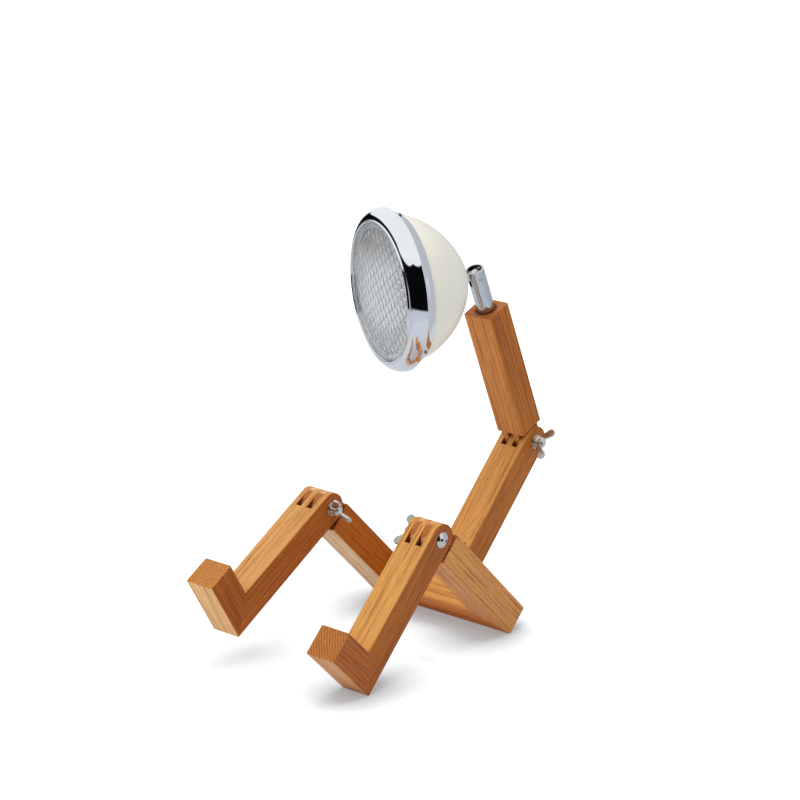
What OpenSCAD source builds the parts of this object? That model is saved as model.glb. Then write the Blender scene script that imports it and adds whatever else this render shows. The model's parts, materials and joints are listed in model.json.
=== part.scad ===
// Robot shaped desk lamp: wooden bars with bolted finger joints and a round lamp head.
// The robot faces -Y and sits on its hip edge and its left heel. X = 0 is its middle plane.

/* [Wooden bars] */
// Width of every bar, across the robot
bar_w = 25; // [20:0.5:32]
// Depth of every bar, front to back
bar_d = 23; // [22:0.5:28]
// Flat that eases each long edge
edge_ease = 0.8; // [0.4:0.1:1.6]

/* [Legs] */
// Width across both thighs
hip_w = 129; // [110:1:170]
// Thigh, from the back of the hips to the knee axis
thigh_len = 120; // [95:1:160]
// Shin, from the knee axis to the sole
shin_len = 120; // [95:1:160]
// Foot, from the back of the shin to the toe
foot_len = 51; // [42:1:75]
// Diameter of the hidden dowels in the mitres
dowel_d = 6; // [4:0.5:8]
// Length of the hidden dowels
dowel_len = 19; // [12:0.5:20]

/* [Body] */
// Torso bar, from the hip axis to the waist axis
torso_len = 110; // [90:1:160]
// Upper bar, from the waist axis to its top face
upper_len = 119; // [95:1:160]
// Plate under the fingers of the hinge block
hip_plate = 1; // [0.6:0.1:4]
// Depth of the hinge block's tenon in the crossbar
tenon_depth = 12; // [8:0.5:16]
// Tenon, across the robot
tenon_w = 20; // [12:0.5:20]
// Tenon, front to back
tenon_d = 15; // [10:0.5:17]

/* [Pose] */
// Tilt of the thighs above the ground
hip_tilt = 45; // [35:1:55]
// Tilt of the raised right shin below level
right_shin_tilt = 30.5; // [20:0.5:40]
// Lean of the torso bar, backwards from upright
torso_lean = 44; // [20:1:60]
// Lean of the upper bar, forwards from upright
upper_lean = 22.4; // [0:0.1:40]
// Turn of the head to the robot's right
head_turn = 26; // [0:1:60]
// Angle between the neck tube and the axis of the head
head_nod = 72.6; // [50:0.1:80]
// Angle of the waist wing nut, from the back towards the top
waist_wing_angle = 50; // [0:1:180]
// Angle of the hip wing nut
hip_wing_angle = 135; // [0:1:180]
// Angle of the left knee wing nut
left_wing_angle = 42; // [0:1:180]
// Angle of the right knee wing nut
right_wing_angle = 127; // [0:1:180]

/* [Finger joints] */
// Room on each face of a finger
finger_gap = 0.1; // [0.05:0.01:0.2]
// Room between a round finger end and the bottom of its slot
root_gap = 1.5; // [1:0.1:3]

/* [Bolts and wing nuts] */
// Bolt diameter
bolt_d = 5; // [4:0.5:6]
// Radial room round a bolt that turns
turn_clear = 0.05; // [0.02:0.01:0.08]
// Radial room in a washer
washer_clear = 0.2; // [0.1:0.05:0.5]
// Diameter of the domed bolt head
bolt_head_d = 11.6; // [9:0.1:14]
// Height of the domed bolt head
bolt_head_h = 2.2; // [1.5:0.1:3]
// Diameter of the two holes for a pin spanner
spanner_hole_d = 1.8; // [1.2:0.1:2.2]
// Distance between the two spanner holes
spanner_pitch = 4.8; // [3.6:0.1:6]
// Depth of the spanner holes
spanner_depth = 1.2; // [0.6:0.1:1.4]
// Diameter of the washer
washer_d = 11; // [9:0.1:13]
// Thickness of the washer
washer_t = 1; // [0.6:0.1:1.5]
// Diameter of the wing nut's foot
nut_foot_d = 10; // [8:0.1:12]
// Diameter of the wing nut's hub at its top
nut_top_d = 7.6; // [6.6:0.1:9]
// Height of the wing nut's hub
nut_hub_h = 6; // [4:0.1:8]
// Span over both wings
wing_span = 25; // [20:0.5:26]
// Height of the wings above the washer
wing_h = 12; // [9:0.5:14]
// Thickness of a wing
wing_t = 2; // [1.4:0.1:2.6]
// Radius of a wing's round end
wing_end_r = 3.2; // [2.4:0.1:4]
// Bolt end that shows past the hub
bolt_tip = 1; // [0.5:0.1:2]

/* [Neck] */
// Outer diameter of the neck tube
tube_d = 13.5; // [12:0.1:16]
// Wall of the neck tube
tube_wall = 1.3; // [1:0.1:1.6]
// Length of tube above the wood
tube_show = 35; // [32:0.5:45]
// Length of tube inside the upper bar
tube_sink = 34; // [24:0.5:40]
// Tilt axis above the wood
tilt_rise = 29; // [27:0.5:38]
// Thickness of the head's lug
lug_t = 4.4; // [3.6:0.1:5]
// Room on each side of the lug in its slot
slot_clear = 0.25; // [0.2:0.05:0.4]
// Radius of the lug's eye
eye_r = 4.7; // [4:0.1:4.8]
// Slot below the tilt axis
slot_drop = 6; // [5:0.1:9]
// Diameter of the tilt pin
pin_d = 3; // [2:0.1:3.6]
// Diameter of the grub screw that holds the tube
grub_d = 4; // [3:0.1:5]
// Grub screw below the top of the bar
grub_drop = 17; // [10:0.5:22]
// Depth of the groove for the grub screw
groove_depth = 0.6; // [0.3:0.1:0.8]
// Ring cut round the mouth of the tube's bore
mouth_ease = 0.7; // [0.3:0.1:1.2]

/* [Lamp head] */
// Tilt axis to the lug's seat on the bowl
lug_reach = 10.76; // [10:0.02:16]
// Outer diameter of the chrome bezel
bezel_d = 119.6; // [110:0.2:130]
// Diameter of the lens opening
window_d = 100.4; // [90:0.2:104]
// Bezel front to its widest line
band_len = 12; // [10:0.2:15]
// Bezel front to its back edge
bezel_len = 20.2; // [18:0.2:24]
// Sheet thickness of the bezel
bezel_t = 1; // [0.8:0.1:1.4]
// Diameter of the bowl at the bezel
bowl_d = 106.4; // [100:0.2:108]
// Depth of the bowl behind the bezel
bowl_depth = 48; // [46:0.5:48.5]
// Wall of the bowl
bowl_wall = 1.2; // [1:0.1:1.6]
// Roundness of the bowl, 2 is an ellipse
bowl_power = 1.62; // [1.55:0.01:1.7]
// Thickness of the lens at its edge
lens_t = 3; // [2:0.1:4]
// Rise of the lens at its middle
lens_crown = 2.6; // [1:0.1:4]
// Thickness of the lens gasket
gasket_t = 1; // [0.6:0.1:1.6]

/* [Light module] */
// Thickness of the reflector
reflector_t = 0.8; // [0.6:0.1:1.2]
// Radius of the reflector's throat
throat_r = 13; // [11:0.5:15]
// Radius of the lamp module
module_r = 17; // [16.5:0.5:17]
// Thickness of a circuit board
board_t = 1.6; // [1:0.1:1.6]
// Number of light chips in the outer ring
chip_count = 6; // [4:1:8]
// Side of a light chip
chip_w = 3; // [2:0.1:3.5]
// Height of a light chip
chip_h = 1; // [0.6:0.1:1.5]
// Length of the heat sink
sink_len = 11; // [8:0.5:12]
// Number of heat sink fins
fin_count = 4; // [3:1:5]
// Room between two fins
fin_gap = 1; // [0.8:0.1:1.2]
// Height of the driver board's spacers
spacer_h = 4; // [3:0.1:4.2]
// Diameter of the module's screws
screw_d = 2.5; // [2:0.1:3]
// Diameter of an inner lead
lead_d = 1.4; // [1:0.1:2]

/* [Switch and cable inlet] */
// Diameter of the switch's button
button_d = 8; // [6:0.1:9]
// Travel of the button
button_travel = 1.5; // [1:0.1:2]
// Button above its collar
button_show = 3; // [2.4:0.1:4]
// Diameter of the threaded switch bush
bush_d = 12; // [11:0.1:13]
// Diameter of the switch collar
collar_d = 15; // [14.4:0.1:17]
// Length of the switch body inside the bowl
switch_body_len = 9; // [8:0.5:10]
// Place of the switch along the bowl, as a share of its depth
switch_share = 0.56; // [0.5:0.01:0.6]
// Place of the cable inlet along the bowl, as a share of its depth
inlet_share = 0.7; // [0.6:0.01:0.75]
// Bore of the cable grommet
inlet_d = 6; // [5:0.1:7]
// Wall of the cable grommet
grommet_wall = 1.6; // [1.2:0.1:2]
// Lip of the cable grommet
grommet_lip = 1.8; // [1.2:0.1:2.4]

/* [Hidden] */
$fn = 64;

// Overrun of every cut past the face that it opens
over = 1;
// Radial room round a pin or screw that is fixed in its hole
fixed_clear = 0.02;
// Steps along a curved outline
curve_steps = 14;

// Finger joint: five layers, three on one bar and two on the other
layer = bar_w / 5;
finger_r = bar_d / 2;
finger_root = finger_r + root_gap;
bore_r = bolt_d / 2 + turn_clear;
slots_between_three = [[-1.5 * layer, -0.5 * layer], [0.5 * layer, 1.5 * layer]];
room_round_two = [
    [-bar_w / 2 - over, -1.5 * layer + finger_gap],
    [-0.5 * layer - finger_gap, 0.5 * layer + finger_gap],
    [1.5 * layer - finger_gap, bar_w / 2 + over]
];

// Places in the world. The hip edge is eased, so its sharp corner would lie a little under the ground.
edge_drop = edge_ease * min(sin(hip_tilt), cos(hip_tilt));
function from_hips(p) = [
    p.x,
    p.y * cos(hip_tilt) + p.z * sin(hip_tilt),
    p.z * cos(hip_tilt) - p.y * sin(hip_tilt) - edge_drop
];
thigh_x = (hip_w - bar_w) / 2;
hip_rise = finger_root + hip_plate;
knee = from_hips([0, -thigh_len, bar_d / 2]);
hip_axis = from_hips([0, -bar_w / 2, bar_d + hip_rise]);
// The left heel meets the ground, which sets the drop of the left shin
left_shin_tilt = asin((knee.z + edge_drop) / norm([shin_len, bar_d / 2])) - atan2(bar_d / 2, shin_len);
waist = hip_axis + torso_len * [0, sin(torso_lean), cos(torso_lean)];

// Domed bolt head
head_rim_h = bolt_head_h / 4;
dome_h = bolt_head_h - head_rim_h;
dome_r = (pow(bolt_head_d / 2, 2) + pow(dome_h, 2)) / (2 * dome_h);
spanner_angle = -17;
wing_web_angle = 40;
wing_root = nut_hub_h / 5;

// Neck
tube_r = tube_d / 2;
tube_bore_r = tube_r - tube_wall;
slot_w = lug_t + 2 * slot_clear;
sink_room = 0.1;
grub_clear = 0.1;
grub_tip_gap = 0.25;
grub_len = bar_d / 2 - tube_r + groove_depth - grub_tip_gap;
// Socket of the grub screw, as shares of its diameter
hex_socket_share = 0.55;
hex_depth_share = 0.5;

// Head stations, counted backwards from the front of the bezel
lip_r = 1.2;
lip_groove_w = 0.4;
lip_groove_depth = 0.5;
band_start = 1.6;
crease = 0.6;
rim_clear = 0.05;
rim_roll = 1.5;
window_r = window_d / 2;
bezel_r = bezel_d / 2;
bowl_r = bowl_d / 2;
lens_r = window_r + lip_r;
lens_front = 2 * lip_r;
lens_back = lens_front + lens_t;
gasket_back = lens_back + gasket_t;
flange_back = gasket_back + reflector_t;
gasket_w = 2.6;

// Bowl: a superellipse turned round its axis, cut flat for the lug outside and for its washer inside
seat_share = 0.98;
bowl_seat = bezel_len + bowl_depth * seat_share;
pad_t = 1.6;
bowl_pad = bowl_seat - pad_t;
// Tilt axis to the front of the bezel
head_reach = bowl_seat + lug_reach;
function bowl_point(share, r, depth) = [
    r * pow(1 - pow(share, bowl_power), 1 / bowl_power),
    bezel_len + depth * share
];
function bowl_lean(share) = atan2(
    pow(share, bowl_power - 1) / bowl_depth,
    pow(bowl_point(share, bowl_r, bowl_depth).x / bowl_r, bowl_power - 1) / bowl_r
);
function bowl_line(r, depth, end) = [
    for (i = [0:curve_steps])
        bowl_point(end / depth * sin(90 * i / curve_steps), r, depth)
];

// Lug and its nut
lug_flange_t = 1.2;
lug_flange_r = 5.6;
lug_neck_w = 5;
stud_r = 3;
stud_clear = 0.1;
lug_washer_t = 1;
lug_washer_r = 6;
lug_nut_af = 10;
lug_nut_h = 5;
stud_tip = 1;

// Light module, seated one piece behind the other
mirror_inset = 2;
mirror_r = window_r - mirror_inset;
mirror_flange_r = bowl_r - rim_clear;
capacitor_h = 6;
nut_room = 1.16;
driver_back = bowl_pad - lug_washer_t - lug_nut_h - stud_tip - nut_room - capacitor_h;
driver_front = driver_back - board_t;
sink_back = driver_front - spacer_h;
board_back = sink_back - sink_len;
reflector_back = board_back - board_t;
reflector_floor_t = 1.6;
sink_core_r = 12.5;
sink_base_t = 3;
fin_pitch = (sink_len - sink_base_t) / fin_count;
driver_r = 15.5;
screw_ring_r = 14.8;
screw_head_r = screw_d;
screw_head_h = 1.4;
// Head of a driver screw, as a share of a module screw's
small_head_share = 0.8;
screw_bite = 4;
spacer_r = 2.4;
spacer_ring_r = 9;
spacer_angle = 30;
chip_ring_r = 8;
lead_ring_r = 6;
lead_clear = 0.2;

// Driver parts: place, size and height of each
capacitor_r = 3.6;
coil_size = [6.5, 6.5, 4.6];
chip_size = [5, 4, 1.4];
part_x = 6.4;
part_y = 6;
terminal_size = [8, 6, 5.5];

// Switch and inlet, square to the wall of the bowl
switch_angle = 180;
inlet_angle = 232;
collar_h = 1.8;
wall_seat = 0.3;
bush_len = 6;
bush_clear = 0.1;
switch_nut_h = 2.6;
switch_nut_af = 15;
switch_body_d = 13;
switch_nut_room = 1;
button_clear = 0.15;
button_stem = 4;
button_pocket = button_stem + button_travel + button_clear;
grommet_lip_t = 1.5;
grommet_seat = 0.15;
grommet_inner_room = 0.75;

// Three screws through the bezel's flange into the bowl
bezel_screw_angle = -30;
bezel_screw_station = 15.8;
bezel_screw_len = 6.4;
bezel_screw_head_r = 1.9;
bezel_screw_head_h = 1;
bezel_slot_w = 0.6;
bezel_slot_depth = 0.5;

// Shapes that bars share

// Cut or blank in the side view: its points are (y, z) and it spans the width w
module side_view(w) rotate([90, 0, 90]) linear_extrude(height = w, center = true) children();

// Bar along z with four eased edges
module eased_bar(low, high) {
    x = bar_w / 2;
    y = bar_d / 2;
    e = edge_ease;
    translate([0, 0, low]) linear_extrude(height = high - low) polygon([
        [x - e, y], [x, y - e], [x, e - y], [x - e, -y], [e - x, -y], [-x, e - y], [-x, y - e], [e - x, y]
    ]);
}

// Bar from low to high. A round end has its axis there, and the wood goes on round it.
module wood_bar(low, high, round_low = false, round_high = false) intersection() {
    eased_bar(low - (round_low ? finger_r : 0), high + (round_high ? finger_r : 0));
    side_view(bar_w + 2 * over) union() {
        translate([-finger_r, low - (round_low ? 0 : over)])
            square([bar_d, high - low + (round_low ? 0 : over) + (round_high ? 0 : over)]);
        if (round_low) translate([0, low]) circle(r = finger_r);
        if (round_high) translate([0, high]) circle(r = finger_r);
    }
}

// Cuts that leave the fingers at an end whose axis is at z = 0
module finger_cuts(spans, upwards) mirror([0, 0, upwards ? 0 : 1]) for (s = spans)
    translate([s[0], -bar_d / 2 - over, -finger_root])
        cube([s[1] - s[0], bar_d + 2 * over, finger_root + finger_r + over]);

module cross_bore(r) rotate([0, 90, 0]) cylinder(r = r, h = bar_w + 2 * over, center = true);

// Frames of the moving pieces
module in_hips() translate([0, 0, -edge_drop]) rotate([-hip_tilt, 0, 0]) children();
module in_shin(side) translate(knee + [side * thigh_x, 0, 0])
    rotate([(side > 0 ? left_shin_tilt : right_shin_tilt) - 90, 0, 0]) children();
module in_torso() translate(hip_axis) rotate([-torso_lean, 0, 0]) children();
module in_upper() translate(waist) rotate([upper_lean, 0, 0]) children();
module in_neck() in_upper() translate([0, 0, upper_len]) rotate([0, 0, -head_turn]) children();
module in_head() in_neck() translate([0, 0, tilt_rise]) rotate([head_nod, 0, 0]) children();

// Hip frame: in its own frame the thighs run along -y and the ground edge is the x axis

module corner_dowel(side) translate([side * thigh_x, -bar_w / 2, bar_d / 2])
    rotate([90, 0, side * 45]) cylinder(d = dowel_d, h = dowel_len, center = true);

module mitred_plan(points) translate([0, 0, -over]) linear_extrude(height = bar_d + 2 * over) polygon(points);

module hip_crossbar() color("peru") in_hips() difference() {
    intersection() {
        translate([-hip_w / 2 - over, -bar_w / 2, bar_d / 2]) rotate([90, 0, 90])
            eased_bar(0, hip_w + 2 * over);
        mitred_plan([
            [-hip_w / 2 - over, over],
            [hip_w / 2 + over, over],
            [hip_w / 2 - bar_w - over, -bar_w - over],
            [bar_w - hip_w / 2 + over, -bar_w - over]
        ]);
    }
    for (side = [-1, 1]) corner_dowel(side);
    translate([-tenon_w / 2, -bar_w / 2 - tenon_d / 2, bar_d - tenon_depth])
        cube([tenon_w, tenon_d, tenon_depth + over]);
}

module thigh(side) color("peru") in_hips() difference() {
    intersection() {
        translate([side * thigh_x, 0, bar_d / 2]) rotate([90, 0, 0]) difference() {
            wood_bar(-over, thigh_len, round_high = true);
            translate([0, 0, thigh_len]) {
                finger_cuts(room_round_two, true);
                cross_bore(bore_r);
            }
        }
        mitred_plan([
            [side * (hip_w / 2 + over), over],
            [side * (hip_w / 2 - bar_w - over), -bar_w - over],
            [side * (hip_w / 2 - bar_w - over), -thigh_len - bar_d],
            [side * (hip_w / 2 + over), -thigh_len - bar_d]
        ]);
    }
    corner_dowel(side);
}
module left_thigh() thigh(1);
module right_thigh() thigh(-1);

module hip_hinge_block() color("peru") in_hips() {
    translate([0, -bar_w / 2, bar_d + hip_rise]) difference() {
        wood_bar(-hip_rise, 0, round_high = true);
        finger_cuts(room_round_two, true);
        cross_bore(bore_r);
    }
    translate([-tenon_w / 2, -bar_w / 2 - tenon_d / 2, bar_d - tenon_depth])
        cube([tenon_w, tenon_d, tenon_depth]);
}

module hip_corner_dowels() color("burlywood") in_hips() for (side = [-1, 1]) corner_dowel(side);

// Legs: a shin and a foot, mitred at the heel

heel_mitre = [
    [bar_d / 2 + over, -shin_len - over],
    [-bar_d / 2 - over, bar_d - shin_len + over]
];

// Eased outer edge of the heel, shared by shin and foot
module heel_ease() side_view(bar_w + 2 * over) polygon([
    [bar_d / 2 - edge_ease - over, -shin_len - over],
    [bar_d / 2 + over, -shin_len - over],
    [bar_d / 2 + over, -shin_len + edge_ease + over]
]);

module foot_dowel() translate([0, 0, bar_d / 2 - shin_len]) rotate([-45, 0, 0])
    cylinder(d = dowel_d, h = dowel_len, center = true);

module shin(side) color("sandybrown") in_shin(side) difference() {
    intersection() {
        wood_bar(-shin_len - over, 0, round_high = true);
        side_view(bar_w + 2 * over) polygon(concat(heel_mitre, [
            [-bar_d / 2 - over, bar_d], [bar_d / 2 + over, bar_d]
        ]));
    }
    finger_cuts(slots_between_three, true);
    cross_bore(bore_r);
    heel_ease();
    foot_dowel();
}
module left_shin() shin(1);
module right_shin() shin(-1);

module foot(side) color("peru") in_shin(side) difference() {
    intersection() {
        translate([0, 0, bar_d / 2 - shin_len]) rotate([90, 0, 0])
            eased_bar(-bar_d, foot_len - bar_d / 2);
        side_view(bar_w + 2 * over) polygon(concat(heel_mitre, [
            [-foot_len - over, bar_d - shin_len + over], [-foot_len - over, -shin_len - over]
        ]));
    }
    heel_ease();
    foot_dowel();
}
module left_foot() foot(1);
module right_foot() foot(-1);

module left_foot_dowel() color("burlywood") in_shin(1) foot_dowel();
module right_foot_dowel() color("burlywood") in_shin(-1) foot_dowel();

// Bolts, washers and wing nuts. Each is drawn along z from the face under the bolt's head.
// towards is 1 where the wing nut is on the robot's left, and -1 on its right.

module on_bolt(centre, towards) translate(centre - [towards * bar_w / 2, 0, 0])
    rotate([0, towards * 90, 0]) children();

module bolt(centre, towards) color("silver") on_bolt(centre, towards) {
    cylinder(r = bolt_d / 2, h = bar_w + washer_t + nut_hub_h + bolt_tip);
    difference() {
        translate([0, 0, -bolt_head_h]) intersection() {
            cylinder(d = bolt_head_d, h = bolt_head_h);
            translate([0, 0, dome_r]) sphere(r = dome_r);
        }
        for (end = [-1, 1]) rotate([0, 0, 90 + towards * spanner_angle])
            translate([end * spanner_pitch / 2, 0, -bolt_head_h - over])
                cylinder(d = spanner_hole_d, h = over + spanner_depth);
    }
}

module washer(centre, towards) color("lightgray") on_bolt(centre, towards) translate([0, 0, bar_w])
    difference() {
        cylinder(d = washer_d, h = washer_t);
        translate([0, 0, -over]) cylinder(r = bolt_d / 2 + washer_clear, h = washer_t + 2 * over);
    }

module wing_outline() {
    end = [wing_span / 2 - wing_end_r, wing_h - wing_end_r];
    translate(end) circle(r = wing_end_r);
    polygon([
        [0, wing_root],
        end + wing_end_r * [sin(wing_web_angle), -cos(wing_web_angle)],
        end + wing_end_r * [-sin(wing_web_angle), cos(wing_web_angle)],
        [0, nut_hub_h]
    ]);
}

module wing_nut(centre, towards, angle) color("silver") on_bolt(centre, towards)
    translate([0, 0, bar_w + washer_t]) rotate([0, 0, 90 + towards * angle]) difference() {
        union() {
            cylinder(d1 = nut_foot_d, d2 = nut_top_d, h = nut_hub_h);
            for (end = [0, 180]) rotate([90, 0, end]) linear_extrude(height = wing_t, center = true)
                wing_outline();
        }
        translate([0, 0, -over]) cylinder(r = bore_r, h = wing_h + 2 * over);
    }

left_knee = knee + [thigh_x, 0, 0];
right_knee = knee - [thigh_x, 0, 0];
module left_knee_bolt() bolt(left_knee, -1);
module left_knee_washer() washer(left_knee, -1);
module left_knee_wing_nut() wing_nut(left_knee, -1, left_wing_angle);
module right_knee_bolt() bolt(right_knee, 1);
module right_knee_washer() washer(right_knee, 1);
module right_knee_wing_nut() wing_nut(right_knee, 1, right_wing_angle);
module hip_bolt() bolt(hip_axis, 1);
module hip_washer() washer(hip_axis, 1);
module hip_wing_nut() wing_nut(hip_axis, 1, hip_wing_angle);
module waist_bolt() bolt(waist, 1);
module waist_washer() washer(waist, 1);
module waist_wing_nut() wing_nut(waist, 1, waist_wing_angle);

// Body

module torso_bar() color("sandybrown") in_torso() difference() {
    wood_bar(0, torso_len, round_low = true, round_high = true);
    finger_cuts(slots_between_three, false);
    cross_bore(bore_r);
    translate([0, 0, torso_len]) {
        finger_cuts(slots_between_three, true);
        cross_bore(bore_r);
    }
}

module grub_place() translate([0, bar_d / 2, upper_len - grub_drop]) rotate([90, 0, 0]) children();

module upper_bar() color("peru") in_upper() difference() {
    wood_bar(0, upper_len, round_low = true);
    finger_cuts(room_round_two, false);
    cross_bore(bore_r);
    translate([0, 0, upper_len - tube_sink - sink_room])
        cylinder(r = tube_r + turn_clear, h = tube_sink + sink_room + over);
    translate([0, 0, upper_len - mouth_ease])
        cylinder(r1 = tube_r + turn_clear, r2 = tube_r + turn_clear + 2 * mouth_ease, h = 2 * mouth_ease);
    grub_place() translate([0, 0, -over]) cylinder(r = grub_d / 2 + fixed_clear, h = bar_d / 2 + over);
}

module neck_grub_screw() color("dimgray") in_upper() grub_place() difference() {
    cylinder(d = grub_d, h = grub_len);
    translate([0, 0, -over])
        cylinder(d = grub_d * hex_socket_share, h = grub_d * hex_depth_share + over, $fn = 6);
}

// Neck

module neck_tube() color("silver") in_neck() difference() {
    translate([0, 0, -tube_sink]) cylinder(r = tube_r, h = tube_sink + tube_show);
    translate([0, 0, -tube_sink - over]) cylinder(r = tube_bore_r, h = tube_sink + tube_show + 2 * over);
    translate([-slot_w / 2, -tube_d, tilt_rise - slot_drop]) cube([slot_w, tube_d, tube_show]);
    translate([0, 0, tilt_rise]) rotate([0, 90, 0])
        cylinder(r = pin_d / 2 + fixed_clear, h = tube_d + 2 * over, center = true);
    translate([0, 0, -grub_drop]) difference() {
        cylinder(r = tube_r + over, h = grub_d + 2 * grub_clear, center = true);
        cylinder(r = tube_r - groove_depth, h = grub_d + 2 * over, center = true);
    }
}

module tilt_pin() color("silver") in_head() rotate([0, 90, 0])
    cylinder(d = pin_d, h = 2 * sqrt(pow(tube_r, 2) - pow(pin_d / 2, 2)), center = true);

// Head: z points forwards along the head's axis, from the tilt axis

module tilt_lug() color("whitesmoke") in_head() difference() {
    union() {
        rotate([0, 90, 0]) cylinder(r = eye_r, h = lug_t, center = true);
        translate([-lug_t / 2, -lug_neck_w / 2, 0]) cube([lug_t, lug_neck_w, lug_reach - lug_flange_t / 2]);
        translate([0, 0, lug_reach - lug_flange_t]) cylinder(r = lug_flange_r, h = lug_flange_t);
        translate([0, 0, lug_reach - lug_flange_t / 2])
            cylinder(r = stud_r, h = lug_flange_t / 2 + pad_t + lug_washer_t + lug_nut_h + stud_tip);
    }
    rotate([0, 90, 0]) cylinder(r = pin_d / 2 + turn_clear, h = lug_t + 2 * over, center = true);
}

// Puts a shape that is drawn in stations, counted backwards, into the head's frame
module at_stations() translate([0, 0, head_reach]) rotate([180, 0, 0]) children();
module turned(points) at_stations() rotate_extrude($fn = 96) polygon(points);
module ring_part(inner, outer, front, back)
    turned([[inner, front], [outer, front], [outer, back], [inner, back]]);

module lug_washer() color("silver") in_head()
    ring_part(stud_r + stud_clear, lug_washer_r, bowl_pad - lug_washer_t, bowl_pad);

module lug_nut() color("silver") in_head() at_stations()
    translate([0, 0, bowl_pad - lug_washer_t - lug_nut_h]) difference() {
        cylinder(d = lug_nut_af / cos(30), h = lug_nut_h, $fn = 6);
        translate([0, 0, -over]) cylinder(r = stud_r + fixed_clear, h = lug_nut_h + 2 * over);
    }

// Frame square to the bowl's wall, z pointing out of it
module on_bowl(angle, share) {
    p = bowl_point(share, bowl_r, bowl_depth);
    rotate([0, 0, angle]) translate([p.x, 0, head_reach - p.y])
        rotate([0, 90 + bowl_lean(share), 0]) children();
}

flange_slope = (bezel_r - crease - bowl_r - rim_roll) / (bezel_len - bezel_t - band_len - crease);
function flange_at(station) = bezel_r - crease - flange_slope * (station - band_len - crease);

// Frames of the three bezel screws, square to the flange
module at_bezel_screws() for (i = [0:2]) rotate([0, 0, bezel_screw_angle + 120 * i])
    translate([flange_at(bezel_screw_station), 0, head_reach - bezel_screw_station])
        rotate([0, 90 + atan(flange_slope), 0]) children();

module bezel_screw_holes() at_bezel_screws()
    cylinder(r = screw_d / 2 + fixed_clear, h = 2 * bezel_screw_len + 2 * over, center = true);

module lamp_bowl() color("ivory") in_head() difference() {
    turned(concat(
        [[bowl_r, flange_back]],
        bowl_line(bowl_r, bowl_depth, bowl_depth * seat_share),
        [[0, bowl_seat], [0, bowl_pad]],
        [for (i = [0:curve_steps])
            bowl_line(bowl_r - bowl_wall, bowl_depth - bowl_wall, bowl_pad - bezel_len)[curve_steps - i]],
        [[bowl_r - bowl_wall, flange_back]]
    ));
    translate([0, 0, lug_reach - over]) cylinder(r = stud_r + stud_clear, h = pad_t + 2 * over);
    on_bowl(switch_angle, switch_share) cylinder(r = bush_d / 2 + bush_clear, h = bush_d, center = true);
    on_bowl(inlet_angle, inlet_share)
        cylinder(r = inlet_d / 2 + grommet_wall + fixed_clear, h = bush_d, center = true);
    bezel_screw_holes();
}

groove_r = window_r + 2 * lip_r + lip_groove_w;
function lip_line() = [
    for (i = [0:curve_steps])
        let (turn = 180 + 180 * i / curve_steps)
        [window_r + lip_r, lip_r] + lip_r * [cos(turn), sin(turn)]
];
function band_line(t) = [
    for (i = [0:curve_steps])
        [
            groove_r + (bezel_r - groove_r - t) * sin(90 * i / curve_steps),
            band_len - (band_len - band_start - t) * cos(90 * i / curve_steps)
        ]
];

module bezel_ring() color("silver") in_head() difference() {
    turned(concat(
        lip_line(),
        [[groove_r - lip_groove_w / 2, lip_r + lip_groove_depth]],
        band_line(0),
        [
            [bezel_r - crease, band_len + crease],
            [bowl_r + rim_roll, bezel_len - bezel_t],
            [bowl_r + rim_roll - bezel_t / 2, bezel_len],
            [bowl_r + rim_clear, bezel_len],
            [bowl_r + rim_clear, bezel_len - bezel_t],
            [bezel_r - crease - bezel_t, band_len + crease]
        ],
        [for (i = [0:curve_steps]) band_line(bezel_t)[curve_steps - i]],
        [[groove_r - lip_groove_w, lens_front], [window_r, lens_front]]
    ));
    bezel_screw_holes();
}

module bezel_screws() color("gray") in_head() at_bezel_screws() difference() {
    union() {
        translate([0, 0, -bezel_screw_len]) cylinder(d = screw_d, h = bezel_screw_len);
        cylinder(r = bezel_screw_head_r, h = bezel_screw_head_h);
    }
    translate([-bezel_screw_head_r - over, -bezel_slot_w / 2, bezel_screw_head_h - bezel_slot_depth])
        cube([2 * bezel_screw_head_r + 2 * over, bezel_slot_w, bezel_slot_depth + over]);
}

module lens() color("aliceblue", 0.6) in_head() turned(concat(
    [[0, lens_back], [lens_r, lens_back], [lens_r, lens_front]],
    [for (i = [0:curve_steps])
        let (r = (window_r - rim_clear) * (1 - i / curve_steps))
        [r, lens_front - lens_crown * (1 - pow(r / (window_r - rim_clear), 2))]]
));

module lens_gasket() color("whitesmoke") in_head() ring_part(lens_r - gasket_w, lens_r, lens_back, gasket_back);

function mirror_line(t) = [
    for (i = [0:curve_steps])
        let (k = 1 - i / curve_steps)
        [throat_r + t + (mirror_r - throat_r) * k, gasket_back + (reflector_back - gasket_back) * (1 - k * k)]
];

// Cylinders on a ring, for pins, screws and their holes
module ring_pins(count, ring_r, r, front, back, start = 90) at_stations() for (i = [0:count - 1])
    rotate([0, 0, start + 360 * i / count]) translate([ring_r, 0, front])
        cylinder(r = r, h = back - front, $fn = 32);

module module_screw_holes(front, back)
    ring_pins(3, screw_ring_r, screw_d / 2 + fixed_clear, front - over, back + over);
module spacer_screw_holes(front, back)
    ring_pins(3, spacer_ring_r, screw_d / 2 + fixed_clear, front, back + over, spacer_angle);

module reflector() color("gainsboro") in_head() difference() {
    union() {
        turned(concat(
            mirror_line(0),
            [for (i = [0:curve_steps]) mirror_line(reflector_t)[curve_steps - i]],
            [[mirror_flange_r, flange_back], [mirror_flange_r, gasket_back]]
        ));
        ring_part(throat_r, module_r, reflector_back - reflector_floor_t, reflector_back);
    }
    module_screw_holes(reflector_back - reflector_floor_t, reflector_back);
}

module led_board() color("white") in_head() difference() {
    ring_part(0, module_r, reflector_back, board_back);
    module_screw_holes(reflector_back, board_back);
}

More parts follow.
